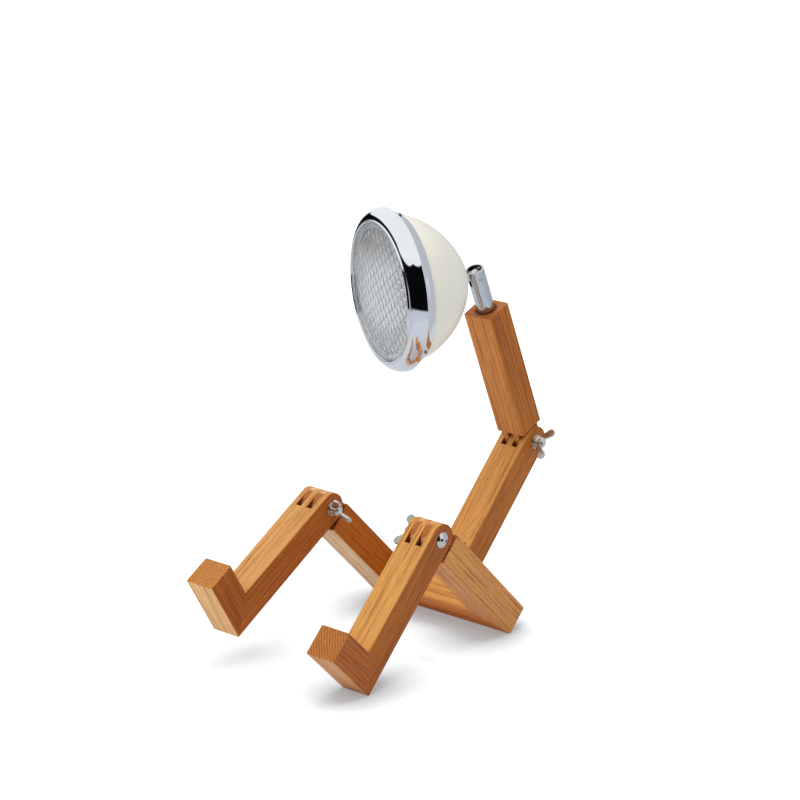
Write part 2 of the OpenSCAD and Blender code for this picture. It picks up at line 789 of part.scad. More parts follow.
module led_chips() color("khaki") in_head() at_stations() for (i = [0:chip_count])
    rotate([0, 0, 360 * i / chip_count])
        translate([(i < chip_count ? chip_ring_r : 0) - chip_w / 2, -chip_w / 2, reflector_back - chip_h])
            cube([chip_w, chip_w, chip_h]);

module heat_sink() color("darkgray") in_head() difference() {
    turned(concat(
        [[0, board_back], [module_r, board_back], [module_r, board_back + sink_base_t]],
        [for (i = [0:fin_count - 1], step = [0:3])
            let (start = board_back + sink_base_t + i * fin_pitch)
            [step == 0 || step == 1 ? sink_core_r : module_r,
                step == 0 ? start : step == 3 ? start + fin_pitch : start + fin_gap]],
        [[0, sink_back]]
    ));
    module_screw_holes(board_back, sink_back);
    spacer_screw_holes(sink_back - screw_bite, sink_back);
    ring_pins(2, lead_ring_r, lead_d / 2 + lead_clear, board_back - over, sink_back + over, 0);
}

module module_screws() color("gray") in_head() {
    ring_pins(3, screw_ring_r, screw_d / 2, reflector_back - reflector_floor_t, sink_back + screw_head_h / 2);
    ring_pins(3, screw_ring_r, screw_head_r, sink_back, sink_back + screw_head_h);
}

module driver_board() color("darkgreen") in_head() difference() {
    ring_part(0, driver_r, driver_front, driver_back);
    spacer_screw_holes(driver_front - over, driver_back);
}

module driver_spacers() color("white") in_head() difference() {
    ring_pins(3, spacer_ring_r, spacer_r, sink_back, driver_front, spacer_angle);
    spacer_screw_holes(sink_back - over, driver_front);
}

module driver_screws() color("gray") in_head() {
    shank_back = driver_back + screw_head_h / 2;
    head_r = screw_head_r * small_head_share;
    ring_pins(3, spacer_ring_r, screw_d / 2, sink_back - screw_bite, shank_back, spacer_angle);
    ring_pins(3, spacer_ring_r, head_r, driver_back, driver_back + screw_head_h, spacer_angle);
}

module driver_parts() color("black") in_head() at_stations() translate([0, 0, driver_back]) {
    translate([part_x, -part_y, 0]) cylinder(r = capacitor_r, h = capacitor_h);
    translate([-part_x - coil_size.x / 2, -part_y - coil_size.y / 2, 0]) cube(coil_size);
    translate([-chip_size.x / 2, -chip_size.y / 2, 0]) cube(chip_size);
}

module terminal_block() color("seagreen") in_head() at_stations()
    translate([-terminal_size.x / 2, part_y - terminal_size.y / 2, driver_back]) cube(terminal_size);

module led_leads() color("crimson") in_head()
    ring_pins(2, lead_ring_r, lead_d / 2, board_back, driver_front, 0);

module cable_grommet() color("black") in_head() on_bowl(inlet_angle, inlet_share) {
    r = inlet_d / 2 + grommet_wall;
    inside = -bowl_wall - grommet_inner_room;
    difference() {
        union() {
            translate([0, 0, inside - grommet_lip_t])
                cylinder(r = r, h = 2 * grommet_lip_t - inside - grommet_seat);
            translate([0, 0, -grommet_seat]) cylinder(r = r + grommet_lip, h = grommet_lip_t);
            translate([0, 0, inside - grommet_lip_t]) cylinder(r = r + grommet_lip, h = grommet_lip_t);
        }
        translate([0, 0, inside - grommet_lip_t - over])
            cylinder(r = inlet_d / 2, h = 2 * grommet_lip_t - inside + 2 * over);
    }
}

module switch_body() color("dimgray") in_head() on_bowl(switch_angle, switch_share) difference() {
    union() {
        translate([0, 0, -wall_seat]) cylinder(d = collar_d, h = collar_h + wall_seat);
        translate([0, 0, -bush_len]) cylinder(d = bush_d, h = bush_len);
        translate([0, 0, -bush_len - switch_body_len]) cylinder(d = switch_body_d, h = switch_body_len);
    }
    translate([0, 0, collar_h - button_pocket])
        cylinder(r = button_d / 2 + button_clear, h = button_pocket + over);
}

module switch_nut() color("silver") in_head() on_bowl(switch_angle, switch_share)
    translate([0, 0, -bowl_wall - switch_nut_room - switch_nut_h]) difference() {
        cylinder(d = switch_nut_af / cos(30), h = switch_nut_h, $fn = 6);
        translate([0, 0, -over]) cylinder(r = bush_d / 2 + fixed_clear, h = switch_nut_h + 2 * over);
    }

module switch_button() color("black") in_head() on_bowl(switch_angle, switch_share)
    translate([0, 0, collar_h - button_stem]) cylinder(d = button_d, h = button_stem + button_show);

hip_crossbar();
left_thigh();
right_thigh();
hip_hinge_block();
hip_corner_dowels();
left_shin();
left_foot();
left_foot_dowel();
right_shin();
right_foot();
right_foot_dowel();
left_knee_bolt();
left_knee_washer();
left_knee_wing_nut();
right_knee_bolt();
right_knee_washer();
right_knee_wing_nut();
torso_bar();
hip_bolt();
hip_washer();
hip_wing_nut();
waist_bolt();
waist_washer();
waist_wing_nut();
upper_bar();
neck_grub_screw();
neck_tube();
tilt_pin();
tilt_lug();
lug_washer();
lug_nut();
lamp_bowl();
bezel_ring();
bezel_screws();
lens();
lens_gasket();
reflector();
led_board();
led_chips();
heat_sink();
module_screws();
driver_board();
driver_spacers();
driver_screws();
driver_parts();
terminal_block();
led_leads();
cable_grommet();
switch_body();
switch_nut();
switch_button();
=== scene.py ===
"""Robot shaped desk lamp: ash bars on bolted finger joints, with a chrome rimmed enamel lamp head."""

import json
import math

import bmesh
import bpy
from mathutils import Matrix, Vector


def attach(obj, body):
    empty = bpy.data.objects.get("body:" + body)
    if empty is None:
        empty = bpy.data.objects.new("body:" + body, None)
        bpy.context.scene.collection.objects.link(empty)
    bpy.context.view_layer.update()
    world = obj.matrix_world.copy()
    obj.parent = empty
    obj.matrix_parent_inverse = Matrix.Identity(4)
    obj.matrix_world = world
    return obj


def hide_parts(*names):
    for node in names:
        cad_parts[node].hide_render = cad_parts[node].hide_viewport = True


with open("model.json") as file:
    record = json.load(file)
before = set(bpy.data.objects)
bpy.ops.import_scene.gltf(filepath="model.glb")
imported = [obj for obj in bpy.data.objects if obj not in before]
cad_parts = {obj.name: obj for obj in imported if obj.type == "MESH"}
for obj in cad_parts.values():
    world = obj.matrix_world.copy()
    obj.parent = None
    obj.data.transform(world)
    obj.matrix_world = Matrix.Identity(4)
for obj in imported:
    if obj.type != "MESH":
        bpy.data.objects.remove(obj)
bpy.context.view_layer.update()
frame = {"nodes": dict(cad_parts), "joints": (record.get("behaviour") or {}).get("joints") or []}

# Sizes in millimetres and angles in degrees, as in the part's source
BAR_W = 25
BAR_D = 23
HIP_W = 129
SHIN_LEN = 120
UPPER_LEN = 119
HIP_PLATE = 1
EDGE_EASE = 0.8
HIP_TILT = 45
TORSO_LEAN = 44
UPPER_LEAN = 22.4
HEAD_TURN = 26
HEAD_NOD = 72.6
TILT_RISE = 29
RIGHT_SHIN_TILT = 30.5
ROOT_GAP = 1.5
FINGER_ROOT = BAR_D / 2 + ROOT_GAP

BOLT_R = 2.5
TURN_CLEAR = 0.05
BOLT_HEAD_R = 5.8
BOLT_HEAD_H = 2.2
SPANNER_PITCH = 4.8
SPANNER_DEPTH = 1.2
WASHER_T = 1
WASHER_R = 5.5
WASHER_CLEAR = 0.2
NUT_FOOT_R = 5
NUT_TOP_R = 3.8
NUT_HUB_H = 6
WING_SPAN = 25
WING_H = 12
WING_T = 2
WING_END_R = 3.2
BOLT_TIP = 1
WING_ANGLES = {"waist": 50, "hip": 135, "left_knee": 42, "right_knee": 127}

WINDOW_R = 50.2
BEZEL_R = 59.8
BAND_LEN = 12
BEZEL_LEN = 20.2
BEZEL_T = 1
LIP_R = 1.2
LIP_GROOVE_W = 0.4
GROOVE_R = WINDOW_R + 2 * LIP_R + LIP_GROOVE_W
BAND_START = 1.6
CREASE = 0.6
RIM_CLEAR = 0.05
RIM_ROLL = 1.5
BOWL_R = 53.2
BOWL_DEPTH = 48
BOWL_WALL = 1.2
BOWL_EDGE = 7.2
PAD_T = 1.6
STUD_HOLE_R = 3.1
BOWL_POWER = 1.62
SEAT_SHARE = 0.98
BOWL_SEAT = BEZEL_LEN + BOWL_DEPTH * SEAT_SHARE
LUG_REACH = 10.76
HEAD_REACH = BOWL_SEAT + LUG_REACH
LENS_FRONT = 2 * LIP_R
LENS_T = 3
LENS_CROWN = 2.6
GASKET_T = 1
REFLECTOR_T = 0.8
MODULE_STACK = 33.96
REFLECTOR_BACK = BOWL_SEAT - MODULE_STACK
MIRROR_INSET = 2
THROAT_R = 13
SWITCH_ANGLE, SWITCH_SHARE = 180, 0.56
SWITCH_HOLE_R = 6.1
COLLAR_H = 1.8
BUTTON_R = 4
BUTTON_STEM = 4
BUTTON_SHOW = 3
INLET_ANGLE, INLET_SHARE = 232, 0.7
INLET_R = 3
INLET_HOLE_R = 4.62
GROMMET_WALL = 1.6
GROMMET_LIP = 1.8
GROMMET_LIP_T = 1.5
GROMMET_SEAT = 0.15
GROMMET_ROOM = 0.75

# The scene's own finer sizes
ARRIS = 0.28
MOUTH_R = 8
SPANNER_HOLE_R = 1.1
SPANNER_ANGLE = -24
CAST_VOXEL = 0.27
LIP_ROLL = 0.7
LENS_EDGE_R = 50.9
PRISM_PITCH = 6.4
PRISM_RISE = 1.35
PRISM_R = 45.5

# The camera: its place in metres, its turns in degrees, its lens and sensor in millimetres
CAMERA_AT = (1.1692, -1.3812, 0.6976)
CAMERA_BEARING, CAMERA_DROP, CAMERA_ROLL = 41.236, 16.410, -0.114
CAMERA_LENS, SENSOR_W = 117, 36

MM = Matrix.Scale(0.001, 4)


# Frames

def at(x, y, z):
    return Matrix.Translation((x, y, z))


def turn(angle, axis):
    return Matrix.Rotation(math.radians(angle), 4, axis)


joint_at = {joint["name"]: Vector(joint["pos_m"]) * 1000 for joint in frame["joints"] if "pos_m" in joint}
left_knee, right_knee = joint_at["left_knee"], joint_at["right_knee"]
hip, waist = joint_at["hip"], joint_at["waist"]
edge_drop = EDGE_EASE * math.sin(math.radians(HIP_TILT))
left_shin_tilt = math.degrees(
    math.asin((left_knee.z + edge_drop) / math.hypot(SHIN_LEN, BAR_D / 2)) - math.atan2(BAR_D / 2, SHIN_LEN))
in_hips = at(0, 0, -edge_drop) @ turn(-HIP_TILT, "X")
in_left_shin = Matrix.Translation(left_knee) @ turn(left_shin_tilt - 90, "X")
in_right_shin = Matrix.Translation(right_knee) @ turn(RIGHT_SHIN_TILT - 90, "X")
in_torso = Matrix.Translation(hip) @ turn(-TORSO_LEAN, "X")
in_upper = Matrix.Translation(waist) @ turn(UPPER_LEAN, "X")
in_neck = in_upper @ at(0, 0, UPPER_LEN) @ turn(-HEAD_TURN, "Z")
in_head = in_neck @ at(0, 0, TILT_RISE) @ turn(HEAD_NOD, "X")
at_stations = in_head @ at(0, 0, HEAD_REACH) @ turn(180, "X")


def bowl_point(share, r=BOWL_R, depth=BOWL_DEPTH):
    return r * (1 - share ** BOWL_POWER) ** (1 / BOWL_POWER), BEZEL_LEN + depth * share


def on_bowl(angle, share):
    """Frame square to the wall of the bowl, z pointing out of it."""
    r, station = bowl_point(share)
    lean = math.degrees(math.atan2(share ** (BOWL_POWER - 1) / BOWL_DEPTH, (r / BOWL_R) ** (BOWL_POWER - 1) / BOWL_R))
    return in_head @ turn(angle, "Z") @ at(r, 0, HEAD_REACH - station) @ turn(90 + lean, "Y")


def on_bolt(centre, towards):
    """Frame of a bolt, z running from the face under its head towards the wing nut."""
    return Matrix.Translation(centre - Vector((towards * BAR_W / 2, 0, 0))) @ turn(towards * 90, "Y")


# Finishes

def tone(red, green, blue):
    """A colour as it looks on a screen, 0 to 255, as the shader's own numbers."""
    shares = (part / 255 for part in (red, green, blue))
    return tuple(share / 12.92 if share <= 0.04 else ((share + 0.055) / 1.055) ** 2.4 for share in shares) + (1,)


class Value:
    """A socket that takes part in sums; each operator adds its Math node."""

    def __init__(self, finish, socket):
        self.finish, self.socket = finish, socket

    def maths(self, operation, *numbers):
        return self.finish.node("Math", {"operation": operation}, dict(enumerate(numbers)))

    def __add__(self, other):
        return self.maths("ADD", self, other)

    def __sub__(self, other):
        return self.maths("SUBTRACT", self, other)

    def __rsub__(self, other):
        return self.maths("SUBTRACT", other, self)

    def __mul__(self, other):
        return self.maths("MULTIPLY", self, other)

    def __truediv__(self, other):
        return self.maths("DIVIDE", self, other)

    def __pow__(self, other):
        return self.maths("POWER", self, other)

    __radd__ = __add__
    __rmul__ = __mul__

    def part(self):
        return self.maths("FRACT", self)

    def size(self):
        return self.maths("ABSOLUTE", self)

    def or_more(self, other):
        return self.maths("MAXIMUM", self, other)

    def between(self, low, high):
        """Rises from 0 to 1 as the value goes from low to high."""
        return self.finish.node("MapRange", {"interpolation_type": "SMOOTHSTEP"},
                                {0: self, 1: low, 2: high, 3: 0.0, 4: 1.0})


class Finish:
    """Builds the nodes of one material, or of the studio."""

    def __init__(self, tree):
        self.tree = tree
        tree.nodes.clear()

    def node(self, kind, settings=None, sockets=None, out=0):
        made = self.tree.nodes.new("ShaderNode" + kind)
        for name, setting in (settings or {}).items():
            setattr(made, name, setting)
        for name, value in (sockets or {}).items():
            if isinstance(value, Value):
                self.tree.links.new(value.socket, made.inputs[name])
            else:
                made.inputs[name].default_value = value
        return Value(self, made.outputs[out]) if made.outputs else None

    def place(self, home=Matrix()):
        """Object coordinates in millimetres, seen from a piece's own frame."""
        back = home.to_3x3().transposed()
        here = self.node("TexCoord", {}, {}, "Object")
        return self.node("Mapping", {}, {
            "Vector": here, "Rotation": back.to_euler(), "Scale": (1000, 1000, 1000),
            "Location": -(back @ home.translation)})

    def stretched(self, vector, stretch):
        return self.node("VectorMath", {"operation": "MULTIPLY"}, {0: vector, 1: stretch})

    def grain(self, vector, scale, detail=3.0, roughness=0.55):
        return self.node("TexNoise", {}, {"Vector": vector, "Scale": scale, "Detail": detail, "Roughness": roughness})

    def blend(self, factor, first, second, kind="MIX"):
        return self.node("Mix", {"data_type": "RGBA", "blend_type": kind}, {0: factor, 6: first, 7: second}, 2)

    def bumps(self, height, strength, distance):
        return self.node("Bump", {}, {"Height": height, "Strength": strength, "Distance": distance})


def material(name, build):
    """Makes a material; build gets its Finish and returns the sockets of its shader."""
    made = bpy.data.materials.new(name)
    made.use_nodes = True
    finish = Finish(made.node_tree)
    surface = finish.node("BsdfPrincipled", {}, build(finish))
    finish.node("OutputMaterial", {}, {"Surface": surface})
    return made


def ash(name, home, cut, knuckles=(), mouth=None):
    """Oiled ash: rings round a pith beside the bar, fibres and pores along it, and a tint for each way a face looks,
    partly from how it was sawn and partly painted light: painted sheen on pale flat faces, painted shade on dark sides.
    Painted shade darkens the pockets between the fingers of a knuckle, and the mouth of a hole bored into the end at
    that height."""
    pith, spacing, shift, flat, quarter_sawn_and_painted_shade, end = cut

    def build(f):
        own = f.place(home)
        x, y, z = (f.node("SeparateXYZ", {}, {0: own}, i) for i in range(3))
        here = f.node("VectorMath", {"operation": "ADD"}, {0: own, 1: (0, 0, shift)})
        sway = f.grain(f.stretched(here, (0.012, 0.012, 0.0035)), 1.0, 2.0)
        uneven = f.grain(f.stretched(here, (0.2, 0.2, 0.005)), 1.0, 2.0)
        far = f.node("VectorMath", {"operation": "MULTIPLY_ADD"}, {0: here, 1: (1, 1, 0), 2: (-pith[0], -pith[1], 0)})
        out = f.node("VectorMath", {"operation": "LENGTH"}, {0: far}, 1)
        ring = ((out + sway * 9 + uneven * 2.4) / spacing).part()
        streak = f.grain(f.stretched(here, (0.5, 0.5, 0.009)), 1.0, 2.0)
        fibre = f.grain(f.stretched(here, (1.5, 1.5, 0.028)), 1.0, 4.0, 0.66)
        fleck = f.grain(f.stretched(here, (1.3, 1.3, 0.11)), 1.0, 2.0)
        fine = f.grain(f.stretched(here, (5.2, 5.2, 0.14)), 1.0, 3.0, 0.6)
        cloud = f.grain(f.stretched(here, (0.045, 0.045, 0.01)), 1.0, 2.0)
        early = 1 - ring.between(0.08, 0.34)
        late = ring.between(0.5, 0.97)
        pores = fine.between(0.52, 0.66) * (early * 0.8 + 0.2)
        lines = fibre.between(0.54, 0.68)
        facing = f.node("TexCoord", {}, {}, "Normal")
        across, along = (
            f.node("VectorMath", {"operation": "DOT_PRODUCT"}, {0: facing, 1: home.to_3x3() @ Vector(line)}, 1)
            for line in ((1, 0, 0), (0, 0, 1)))
        ends = along.size().between(0.8, 0.95)
        rings = (early * 0.14 + late * 0.2) * (1 + ends * 1.6)
        fibres = ((fibre - 0.5) * 1.2 + lines * 0.32 + (streak - 0.5) * 1.55) * (1 - ends * 0.8)
        dark = rings + fibres + (fleck - 0.5) * 0.8 + 0.12
        wood = f.blend(dark.between(0.0, 0.85), tone(225, 166, 98), tone(166, 100, 45))
        wood = f.blend(cloud.between(0.3, 0.72) * 0.25, wood, tone(224, 160, 96), "MULTIPLY")
        wood = f.blend(pores * 0.55, wood, tone(124, 72, 33))
        # Face tints, partly the wood's sawn faces and partly painted light: painted sheen on pale flat faces, painted
        # shade on dark side faces
        tint = f.blend(across.size().between(0.6, 0.8), (*flat, 1), (*quarter_sawn_and_painted_shade, 1))
        tint = f.blend(ends, tint, (*end, 1))
        wood = f.blend(1.0, wood, tint, "MULTIPLY")
        painted_recess_shade = tone(96, 40, 18)
        # Painted shade: the pockets between the fingers of each knuckle are darkened, where shade falls in the recess
        for centre, tip in knuckles:
            past = ((z - centre) * tip).or_more(0.0)
            skin = (x.size() / (BAR_W / 2)).or_more((y * y + past * past) ** 0.5 / (BAR_D / 2))
            painted_pocket_shade = (1 - skin.between(0.8, 0.985)) * (1 - (z - centre).size().between(19, 24))
            wood = f.blend(painted_pocket_shade * 0.8, wood, painted_recess_shade)
        # Painted shade: the wood round the mouth of the tube's hole is darkened, where the hollow is in shade
        if mouth:
            rim = 1 - ((x * x + y * y) ** 0.5).between(MOUTH_R, MOUTH_R + 1.4)
            wood = f.blend(rim * z.between(mouth - 12, mouth - 9) * 0.75, wood, painted_recess_shade)
        rough = 0.5 + (fibre - 0.5) * 0.2 + pores * 0.12
        relief = (fibre - 0.5) * 0.5 - pores * 0.7 - late * 0.1
        return {"Base Color": wood, "Roughness": rough, "Specular IOR Level": 0.22,
                "Normal": f.bumps(relief, 0.3, 0.00012)}
    return material(name, build)


def bright_metal(name, colour, rough, wear=0.02, home=Matrix()):
    """Plated or polished metal with faint handling marks."""
    def build(f):
        here = f.place(home)
        smudge = f.grain(here, 0.09, 3.0)
        marks = f.grain(f.stretched(here, (0.4, 5.0, 1.1)), 1.0, 2.0)
        tint = f.blend(smudge.between(0.3, 0.7), colour, tuple(c * 0.965 for c in colour[:3]) + (1,))
        roughness = rough + (smudge - 0.5).or_more(0.0) * wear * 2 + marks * wear * 0.4
        return {"Base Color": tint, "Metallic": 1.0, "Roughness": roughness,
                "Normal": f.bumps(marks, 0.012, 0.0001)}
    return material(name, build)


def enamel(name):
    """Cream stoved enamel with a soft gloss and a trace of orange peel."""
    def build(f):
        here = f.place()
        peel = f.grain(here, 0.42, 2.0)
        shade = f.grain(here, 0.02, 2.0)
        cream = f.blend(shade.between(0.3, 0.7), tone(241, 238, 223), tone(236, 233, 217))
        return {"Base Color": cream, "Roughness": 0.36 + (peel - 0.5) * 0.06, "Specular IOR Level": 0.45,
                "Coat Weight": 0.25, "Coat Roughness": 0.16, "Normal": f.bumps(peel, 0.03, 0.0002)}
    return material(name, build)


def moulded(name, colour, rough=0.45):
    """Moulded plastic or rubber with a fine spark texture."""
    def build(f):
        here = f.place()
        spark = f.grain(here, 3.2, 2.0)
        patch = f.grain(here, 0.12, 2.0)
        body = f.blend(patch.between(0.3, 0.7), colour, tuple(c * 0.86 for c in colour[:3]) + (1,))
        return {"Base Color": body, "Roughness": rough + (spark - 0.5) * 0.12,
                "Normal": f.bumps(spark, 0.048, 0.0001)}
    return material(name, build)


def glass(name):
    """Clear pressed lens with faint waves left by the mould."""
    def build(f):
        here = f.place(at_stations)
        wave = f.grain(here, 0.06, 2.0)
        return {"Base Color": tone(250, 252, 252), "Roughness": 0.025 + (wave - 0.5) * 0.01, "IOR": 1.49,
                "Transmission Weight": 0.84, "Normal": f.bumps(wave, 0.04, 0.0004)}
    return material(name, build)


def phosphor(name):
    """Yellow phosphor under a clear dome."""
    def build(f):
        speck = f.grain(f.place(), 2.0, 2.0)
        return {"Base Color": f.blend(speck.between(0.35, 0.65), tone(240, 196, 84), tone(226, 168, 52)),
                "Roughness": 0.35 + (speck - 0.5) * 0.1}
    return material(name, build)


bar_frames = {
    "hip_crossbar": in_hips @ at(0, -BAR_W / 2, BAR_D / 2) @ turn(90, "Z") @ turn(90, "X"),
    "left_thigh": in_hips @ at((HIP_W - BAR_W) / 2, 0, BAR_D / 2) @ turn(90, "X"),
    "right_thigh": in_hips @ at((BAR_W - HIP_W) / 2, 0, BAR_D / 2) @ turn(90, "X"),
    "hip_hinge_block": in_hips @ at(0, -BAR_W / 2, BAR_D + FINGER_ROOT + HIP_PLATE),
    "left_shin": in_left_shin,
    "left_foot": in_left_shin @ at(0, 0, BAR_D / 2 - SHIN_LEN) @ turn(90, "X"),
    "right_shin": in_right_shin,
    "right_foot": in_right_shin @ at(0, 0, BAR_D / 2 - SHIN_LEN) @ turn(90, "X"),
    "torso_bar": in_torso,
    "upper_bar": in_upper,
}
# Each bar's pith, ring spacing and place along the plank, and the tints of its flat sawn, quarter sawn and end faces;
# the flat and side tints also carry painted light, painted sheen on pale flat faces and painted shade on dark sides
bar_cuts_and_painted_light = {
    "hip_crossbar": ((80, -60), 1.9, 40, (1.2, 0.9, 0.74), (1.02, 0.96, 0.7), (0.9, 0.8, 0.62)),
    "left_thigh": ((-70, 76), 2.3, 300, (1.16, 1.14, 1.45), (0.94, 0.87, 0.77), (0.73, 0.52, 0.35)),
    "right_thigh": ((-84, 60), 2.0, 720, (1.2, 1.66, 3.1), (0.74, 0.41, 0.08), (0.73, 0.52, 0.35)),
    "hip_hinge_block": ((70, 58), 2.0, 1100, (0.9, 0.85, 0.7), (0.8, 0.6, 0.4), (0.8, 0.6, 0.4)),
    "left_shin": ((-74, 78), 1.9, 1500, (0.95, 0.98, 0.76), (0.6, 0.36, 0.14), (0.8, 0.6, 0.4)),
    "left_foot": ((82, 62), 2.1, 1900, (1.02, 1.02, 1.4), (0.64, 0.39, 0.23), (0.7, 0.52, 0.31)),
    "right_shin": ((80, 58), 1.8, 2300, (0.93, 0.96, 0.9), (0.69, 0.4, 0.12), (0.8, 0.6, 0.4)),
    "right_foot": ((-70, 64), 2.2, 2700, (1.25, 1.5, 1.98), (0.63, 0.36, 0.13), (0.82, 0.71, 0.42)),
    "torso_bar": ((66, 86), 1.9, 3100, (1.04, 1.03, 0.82), (0.68, 0.47, 0.17), (0.8, 0.66, 0.48)),
    "upper_bar": ((-80, 74), 2.2, 3500, (1.05, 0.9, 0.69), (0.65, 0.43, 0.14), (0.8, 0.6, 0.42)),
}
# Where along each bar its knuckles turn, and which way their rounded tips point; painted shade darkens the pockets
# there
knuckles = {
    "left_thigh": [((bar_frames["left_thigh"].inverted() @ left_knee).z, 1)],
    "right_thigh": [((bar_frames["right_thigh"].inverted() @ right_knee).z, 1)],
    "left_shin": [(0, 1)],
    "right_shin": [(0, 1)],
    "torso_bar": [(0, -1), ((waist - hip).length, 1)],
    "upper_bar": [(0, -1)],
}
# Height of the tube's mouth in the upper bar, round which painted shade darkens the wood
mouths = {"upper_bar": UPPER_LEN}
woods = {
    node: ash("ash_" + node, home, bar_cuts_and_painted_light[node], knuckles.get(node, ()), mouths.get(node))
    for node, home in bar_frames.items()
}
dowel_wood = ash("dowel_ash", in_hips, ((30, 40), 2.0, 0, (1, 1, 1), (1, 1, 1), (1, 1, 1)))
chrome = bright_metal("chrome_bezel", tone(232, 235, 240), 0.035, 0.02, at_stations)
tube_chrome = bright_metal("chrome_tube", tone(204, 208, 214), 0.06, 0.03, in_neck)
bolt_steel = bright_metal("bolt_steel", tone(214, 214, 214), 0.12, 0.06)
nut_steel = bright_metal("cast_wing_nut", tone(222, 220, 214), 0.3, 0.1)
# A darker copy of the wing nut finish: painted shade for the left knee's nut, which sits behind the near knee
painted_shade_nut_steel = bright_metal("wing_nut_painted_shade", tone(176, 177, 166), 0.36, 0.1)
plain_steel = bright_metal("plain_steel", tone(196, 196, 198), 0.24, 0.1)
# Blackened steel for the grub screw, and painted shade on the walls of the spanner holes in the bolt heads
dark_steel_and_painted_hole_shade = bright_metal("blackened_steel_and_painted_hole_shade", tone(70, 70, 74), 0.35, 0.1)
mirror = bright_metal("mirror_aluminium", tone(249, 249, 250), 0.1, 0.05, at_stations)
sink_metal = bright_metal("sink_aluminium", tone(188, 190, 194), 0.36, 0.1)
cream = enamel("cream_enamel")
lens_glass = glass("pressed_lens")
rubber = moulded("black_rubber", tone(34, 34, 36), 0.6)
silicone = moulded("white_silicone", tone(238, 239, 238), 0.5)
black_plastic = moulded("black_plastic", tone(28, 28, 30), 0.38)
white_plastic = moulded("white_plastic", tone(232, 232, 228), 0.45)
board_white = moulded("white_board", tone(238, 238, 234), 0.4)
board_green = moulded("green_board", tone(26, 86, 52), 0.35)
terminal_green = moulded("green_terminal", tone(58, 132, 78), 0.45)
lead_red = moulded("red_lead", tone(178, 34, 30), 0.5)
light_phosphor = phosphor("yellow_phosphor")


# Pieces

def smoothed(bm, sharp_at):
    """Smooth shading that stays crisp at edges sharper than the angle."""
    limit = math.radians(sharp_at)
    for face in bm.faces:
        face.smooth = True
    for edge in bm.edges:
        edge.smooth = len(edge.link_faces) == 2 and edge.calc_face_angle(0) < limit


def piece(name, bm, home, look, body, node, sharp_at=32):
    """Turns a bmesh drawn in millimetres in its own frame into a piece that rides with its body and stands for its
    CAD node."""
    bm.transform(MM @ home)
    smoothed(bm, sharp_at)
    mesh = bpy.data.meshes.new(name)
    bm.to_mesh(mesh)
    bm.free()
    made = bpy.data.objects.new(name, mesh)
    bpy.context.scene.collection.objects.link(made)
    mesh.materials.append(look)
    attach(made, body)
    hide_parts(node)
    return made


def eased(made, width, segments=2):
    """Breaks the sharp edges of a piece with a live bevel and evens its shading."""
    bevel = made.modifiers.new("eased_edges", "BEVEL")
    bevel.width, bevel.segments = width / 1000, segments
    bevel.limit_method, bevel.angle_limit = "ANGLE", math.radians(34)
    bevel.harden_normals = True
    bevel.use_clamp_overlap = True
    made.modifiers.new("even_shading", "WEIGHTED_NORMAL").keep_sharp = True


def from_solid(node, home, flat=0.6):
    """A merged copy of a CAD node in millimetres in its own frame, its flat faces made whole."""
    bm = bmesh.new()
    bm.from_mesh(frame["nodes"][node].data)
    bm.transform((MM @ home).inverted())
    bmesh.ops.remove_doubles(bm, verts=bm.verts, dist=0.0005)
    bmesh.ops.dissolve_limit(bm, angle_limit=math.radians(flat), verts=bm.verts, edges=bm.edges)
    return bm


def turned(outline, steps=128, closed=True):
    """Spins an outline of (radius, height) points round z."""
    bm = bmesh.new()
    points = [bm.verts.new((r, 0, z)) for r, z in outline]
    pairs = list(zip(points, points[1:])) + ([(points[-1], points[0])] if closed else [])
    line = [bm.edges.new(pair) for pair in pairs]
    bmesh.ops.spin(
        bm, geom=points + line, cent=(0, 0, 0), axis=(0, 0, 1), angle=2 * math.pi, steps=steps, use_merge=True)
    bmesh.ops.remove_doubles(bm, verts=bm.verts, dist=0.0005)
    bmesh.ops.recalc_face_normals(bm, faces=bm.faces)
    return bm


def arc(cx, cy, r, start, end, steps=8):
    """Points on a round edge, for outlines."""
    return [(cx + r * math.cos(math.radians(start + (end - start) * i / steps)),
             cy + r * math.sin(math.radians(start + (end - start) * i / steps))) for i in range(steps + 1)]


# Wooden bars

def mitred(p):
    """Whether a point lies on a corner mitre of the hip frame."""
    return abs(abs(p.x) - HIP_W / 2 - p.y) < 0.03


def heel_mitred(p):
    """Whether a point lies on the mitre between a shin and its foot."""
    return abs(p.y + p.z - BAR_D / 2 + SHIN_LEN) < 0.03


def wooden_bar(node, body, home, mitre=None):
    """A bar with every arris broken by hand, except along the glue lines of its mitres."""
    bm = from_solid(node, home)
    arrises = [
        edge for edge in bm.edges
        if len(edge.link_faces) == 2 and edge.calc_face_angle_signed(0) > math.radians(28)
        and not (mitre and mitre(edge.verts[0].co) and mitre(edge.verts[1].co))]
    bmesh.ops.bevel(bm, geom=arrises, offset=ARRIS, offset_type="OFFSET", affect="EDGES", segments=2, profile=0.5,
                    material=-1, clamp_overlap=True)
    made = piece(node + "_wood", bm, home, woods[node], body, node, 40)
    made.modifiers.new("even_shading", "WEIGHTED_NORMAL").keep_sharp = True


wooden_bar("hip_crossbar", "hips", in_hips, mitred)
wooden_bar("left_thigh", "hips", in_hips, mitred)
wooden_bar("right_thigh", "hips", in_hips, mitred)
wooden_bar("hip_hinge_block", "hips", in_hips)
wooden_bar("left_shin", "left_lower_leg", in_left_shin, heel_mitred)
wooden_bar("left_foot", "left_lower_leg", in_left_shin, heel_mitred)
wooden_bar("right_shin", "right_lower_leg", in_right_shin, heel_mitred)
wooden_bar("right_foot", "right_lower_leg", in_right_shin, heel_mitred)
wooden_bar("torso_bar", "torso", in_torso)
wooden_bar("upper_bar", "upper", in_upper)


# Bolts, washers and wing nuts

